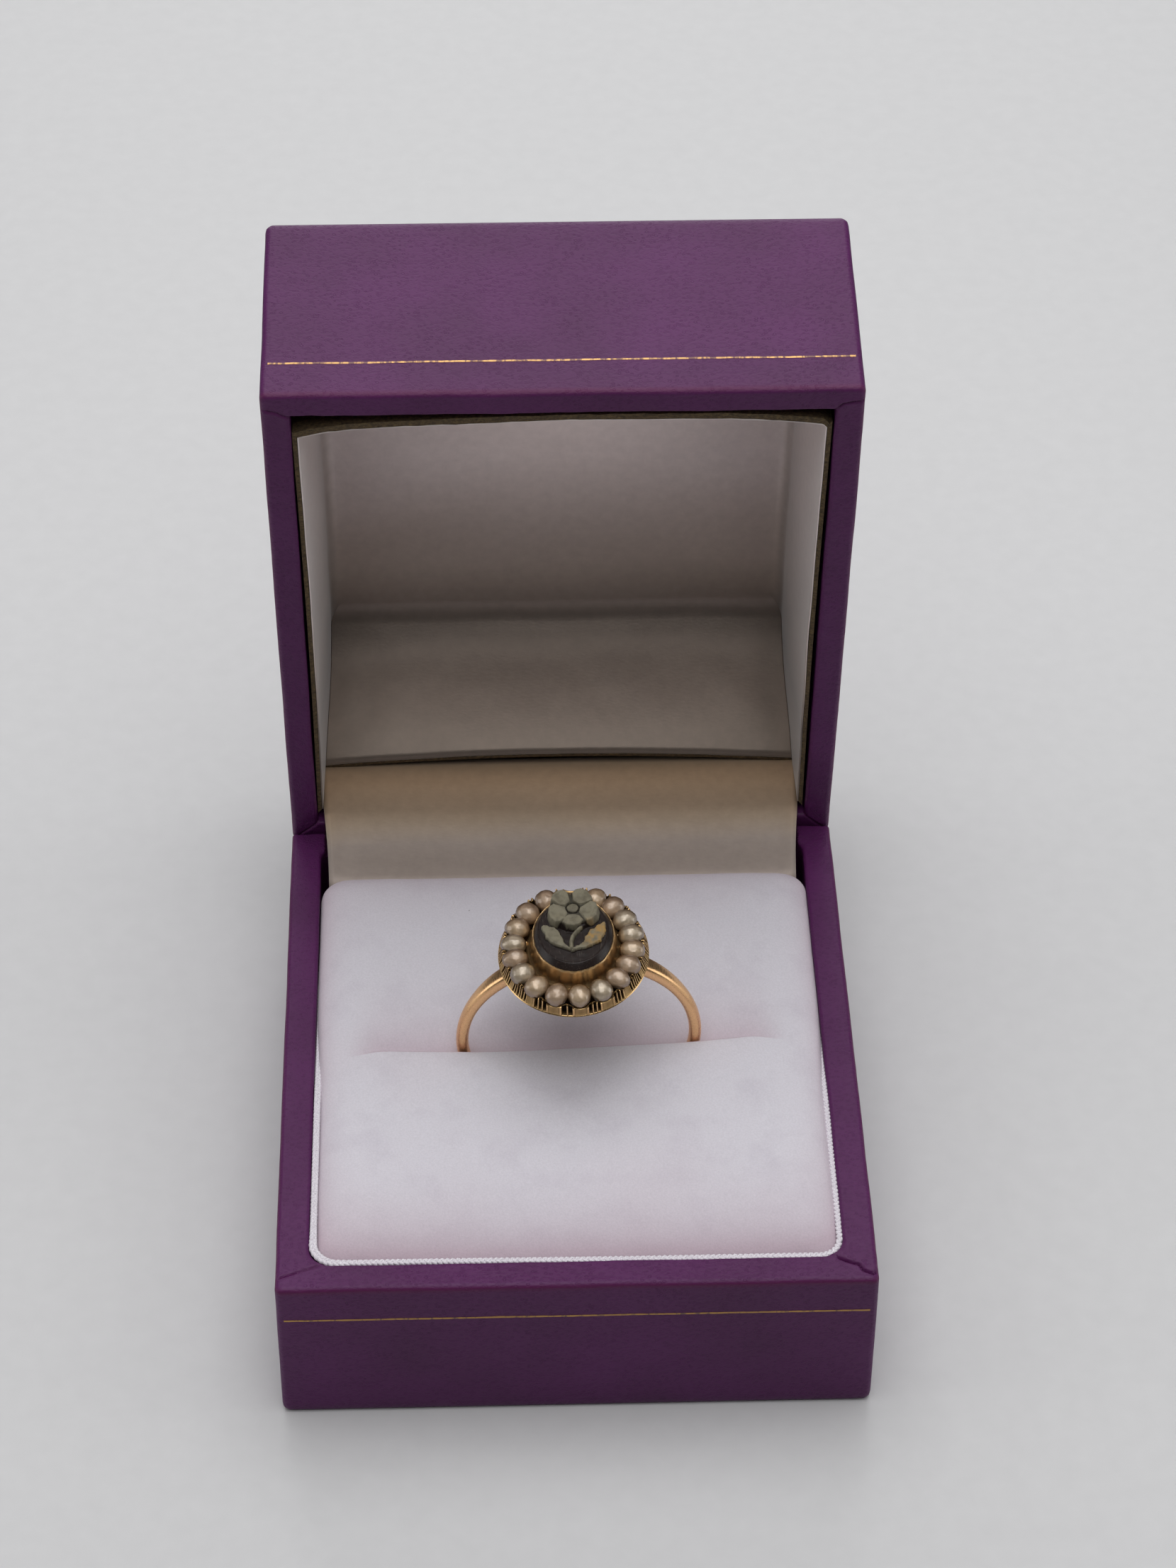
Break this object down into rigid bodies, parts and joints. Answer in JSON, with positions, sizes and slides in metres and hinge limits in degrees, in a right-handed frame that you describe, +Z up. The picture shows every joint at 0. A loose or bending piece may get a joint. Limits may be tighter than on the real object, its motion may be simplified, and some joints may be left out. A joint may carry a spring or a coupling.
{
  "type": "cameo ring in a hinged ring box",
  "caption": "Gold cluster ring with a flower cameo and a pearl border, standing in the slit of an open ring box with a hinged lid.",
  "frame": {"origin": "centre of the underside of the box base", "axes": "+Z up, -Y towards the front of the box, where the lid opens, +X to the right seen from the front"},
  "size_m": [0.048, 0.0743, 0.0712],
  "materials": {
    "leatherette": "fine pitted grain, satin",
    "velvet": "short velvet pile",
    "braid": "braided satin edging",
    "hinge_metal": "plain plated",
    "hinge_satin": "woven satin",
    "satin": "woven satin on card",
    "gold": "polished gold, lightly scratched",
    "hardstone": "polished ground, matt grey-green relief",
    "pearl": "lustrous"
  },
  "bodies": {
    "base": {"box_tray": "leatherette", "pad": "velvet", "pad_trim": "braid", "base_hinge": "hinge_metal", "hinge_cloth_base": "hinge_satin", "ring_mount": "gold", "cameo": "hardstone", "pearl_01": "pearl", "pearl_02": "pearl", "pearl_03": "pearl", "pearl_04": "pearl", "pearl_05": "pearl", "pearl_06": "pearl", "pearl_07": "pearl", "pearl_08": "pearl", "pearl_09": "pearl", "pearl_10": "pearl", "pearl_11": "pearl", "pearl_12": "pearl", "pearl_13": "pearl", "pearl_14": "pearl", "pearl_15": "pearl", "pearl_16": "pearl", "pearl_17": "pearl", "pearl_18": "pearl"},
    "lid": {"lid_shell": "leatherette", "lid_liner": "satin", "lid_hinge": "hinge_metal", "hinge_cloth_lid": "hinge_satin"}
  },
  "joints": [
    {"name": "lid_turn", "type": "hinge", "parent": "base", "child": "lid", "pos_m": [0, 0.0262, 0.0152], "axis": [1, 0, 0], "range_deg": [0, 82]}
  ]
}
